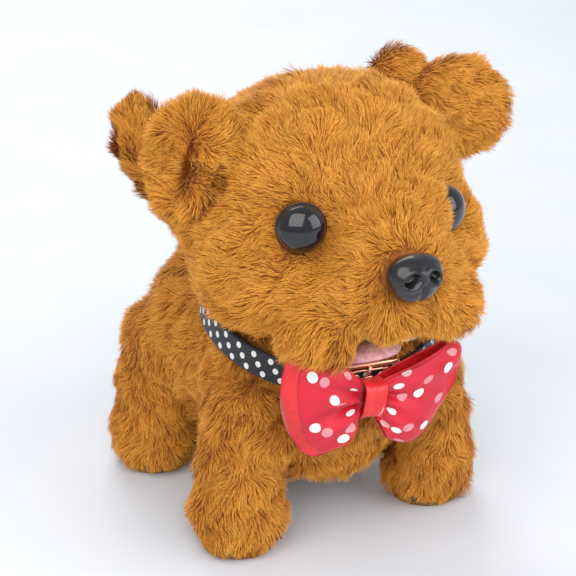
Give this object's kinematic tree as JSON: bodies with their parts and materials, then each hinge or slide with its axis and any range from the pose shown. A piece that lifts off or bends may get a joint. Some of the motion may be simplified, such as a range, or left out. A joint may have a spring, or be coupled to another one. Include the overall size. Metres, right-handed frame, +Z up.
{
  "type": "interactive plush pet",
  "caption": "Walking plush puppy: furry skin over a motor chassis, swinging legs, nodding head, hinged jaw, wagging tail, dotted bow and collar.",
  "frame": {"origin": "on the surface that the feet stand on, under the middle of the toy's overall length and width; the toy's own middle plane is 12.7 mm to the right of it because the left ear stands out", "axes": "+Z up, the puppy faces -Y, +X is its left side"},
  "size_m": [0.1397, 0.1604, 0.1495],
  "materials": {
    "fur": "orange-brown long pile plush, clumped, tips lighter than the roots",
    "red_satin": "red satin ribbon",
    "red_organza": "sheer red organza with white dots",
    "collar_web": "black woven ribbon with white dots",
    "pink_felt": "pink felt",
    "black_gloss": "glossy black moulded plastic",
    "shell_plastic": "off-white moulded plastic",
    "belly_plastic": "brown moulded plastic, fine texture",
    "frame_plastic": "black moulded plastic",
    "gear_plastic": "natural acetal",
    "steel": "drawn steel",
    "rose_gold": "rose-gold plated, polished",
    "cell_jacket": "printed cell jacket, plain blue, no marks",
    "board_green": "green solder mask",
    "chip_black": "moulded black component",
    "sole_rubber": "dark brown rubber, ribbed"
  },
  "bodies": {
    "toy_body": {"chassis_left": "shell_plastic", "chassis_right": "shell_plastic", "chassis_screws": "steel", "belly_plate": "belly_plastic", "battery_box": "shell_plastic", "battery_cells": "cell_jacket", "battery_contacts": "steel", "motor": "steel", "gear_plate": "shell_plastic", "pivot_pins": "steel", "circuit_board": "board_green", "board_parts": "chip_black", "speaker": "chip_black", "hip_axles": "steel", "body_plush": "fur", "neck_bracket": "shell_plastic", "collar_strap": "collar_web", "collar_buckle": "rose_gold", "bow_ribbon": "red_satin", "bow_overlay": "red_organza", "bow_knot": "red_satin"},
    "battery_door": {"battery_door": "belly_plastic", "door_screw": "steel"},
    "switch": {"switch_slider": "frame_plastic"},
    "motor_rotor": {"motor_shaft": "steel", "motor_pinion": "gear_plastic"},
    "gear_one": {"gear_one": "gear_plastic"},
    "gear_two": {"gear_two": "gear_plastic"},
    "crank": {"drive_gear": "gear_plastic", "crank_shaft": "steel", "cranks": "gear_plastic"},
    "head": {"head_plush": "fur", "skull_front": "shell_plastic", "skull_back": "shell_plastic", "jaw_pin": "steel", "eye_left": "black_gloss", "eye_right": "black_gloss", "button_washers": "frame_plastic", "nose": "black_gloss", "ear_left": "fur", "ear_right": "fur"},
    "jaw": {"jaw_frame": "shell_plastic", "jaw_plush": "fur", "mouth_lining": "pink_felt"},
    "tail": {"tail_core": "shell_plastic", "tail_plush": "fur"},
    "link_left": {"link_bar_left": "gear_plastic"},
    "link_right": {"link_bar_right": "gear_plastic"},
    "leg_front_left": {"leg_frame_front_left": "frame_plastic", "leg_plush_front_left": "fur", "sole_front_left": "sole_rubber"},
    "leg_front_right": {"leg_frame_front_right": "frame_plastic", "leg_plush_front_right": "fur", "sole_front_right": "sole_rubber"},
    "leg_back_left": {"leg_frame_back_left": "frame_plastic", "leg_plush_back_left": "fur", "sole_back_left": "sole_rubber"},
    "leg_back_right": {"leg_frame_back_right": "frame_plastic", "leg_plush_back_right": "fur", "sole_back_right": "sole_rubber"}
  },
  "joints": [
    {"name": "leg_front_left_swing", "type": "hinge", "parent": "toy_body", "child": "leg_front_left", "pos_m": [0.0228, -0.0273, 0.042], "axis": [1, 0, 0], "range_deg": [-12, 12]},
    {"name": "leg_front_right_swing", "type": "hinge", "parent": "toy_body", "child": "leg_front_right", "pos_m": [-0.0482, -0.0273, 0.042], "axis": [1, 0, 0], "range_deg": [-12, 12]},
    {"name": "leg_back_left_swing", "type": "hinge", "parent": "toy_body", "child": "leg_back_left", "pos_m": [0.0228, 0.0357, 0.042], "axis": [1, 0, 0], "range_deg": [-12, 12]},
    {"name": "leg_back_right_swing", "type": "hinge", "parent": "toy_body", "child": "leg_back_right", "pos_m": [-0.0482, 0.0357, 0.042], "axis": [1, 0, 0], "range_deg": [-12, 12]},
    {"name": "link_left_pivot", "type": "hinge", "parent": "leg_front_left", "child": "link_left", "pos_m": [0.0123, -0.0273, 0.054], "axis": [1, 0, 0], "range_deg": [-12, 12]},
    {"name": "link_right_pivot", "type": "hinge", "parent": "leg_front_right", "child": "link_right", "pos_m": [-0.0377, -0.0273, 0.054], "axis": [1, 0, 0], "range_deg": [-12, 12]},
    {"name": "motor_spin", "type": "hinge", "parent": "toy_body", "child": "motor_rotor", "pos_m": [-0.0127, 0.0357, 0.0535], "axis": [1, 0, 0], "continuous": true},
    {"name": "gear_one_spin", "type": "hinge", "parent": "toy_body", "child": "gear_one", "pos_m": [-0.0127, 0.0243, 0.0535], "axis": [1, 0, 0], "continuous": true},
    {"name": "gear_two_spin", "type": "hinge", "parent": "toy_body", "child": "gear_two", "pos_m": [-0.0127, 0.0129, 0.0535], "axis": [1, 0, 0], "continuous": true},
    {"name": "crank_spin", "type": "hinge", "parent": "toy_body", "child": "crank", "pos_m": [-0.0127, 0.0009, 0.0535], "axis": [1, 0, 0], "continuous": true},
    {"name": "head_nod", "type": "hinge", "parent": "toy_body", "child": "head", "pos_m": [-0.0127, -0.0163, 0.084], "axis": [1, 0, 0], "range_deg": [-4, 2]},
    {"name": "jaw_open", "type": "hinge", "parent": "head", "child": "jaw", "pos_m": [-0.0127, -0.0403, 0.084], "axis": [1, 0, 0], "range_deg": [0, 5]},
    {"name": "tail_wag", "type": "hinge", "parent": "toy_body", "child": "tail", "pos_m": [-0.0127, 0.0627, 0.06], "axis": [0, 1, 0], "range_deg": [-4, 40]},
    {"name": "switch_slide", "type": "slide", "parent": "toy_body", "child": "switch", "axis": [1, 0, 0], "range_m": [0, 0.0036]},
    {"name": "battery_door_off", "type": "slide", "parent": "toy_body", "child": "battery_door", "axis": [0, 0, -1], "range_m": [0, 0.02]}
  ],
  "couplings": [
    {"joint": "leg_front_right_swing", "follows": "leg_front_left_swing", "ratio": -1},
    {"joint": "leg_back_left_swing", "follows": "leg_front_left_swing", "ratio": 1},
    {"joint": "leg_back_right_swing", "follows": "leg_front_left_swing", "ratio": -1},
    {"joint": "link_left_pivot", "follows": "leg_front_left_swing", "ratio": -1},
    {"joint": "link_right_pivot", "follows": "leg_front_left_swing", "ratio": 1},
    {"joint": "gear_one_spin", "follows": "motor_spin", "ratio": -0.35714},
    {"joint": "gear_two_spin", "follows": "motor_spin", "ratio": 0.12755},
    {"joint": "crank_spin", "follows": "motor_spin", "ratio": -0.042517}
  ]
}
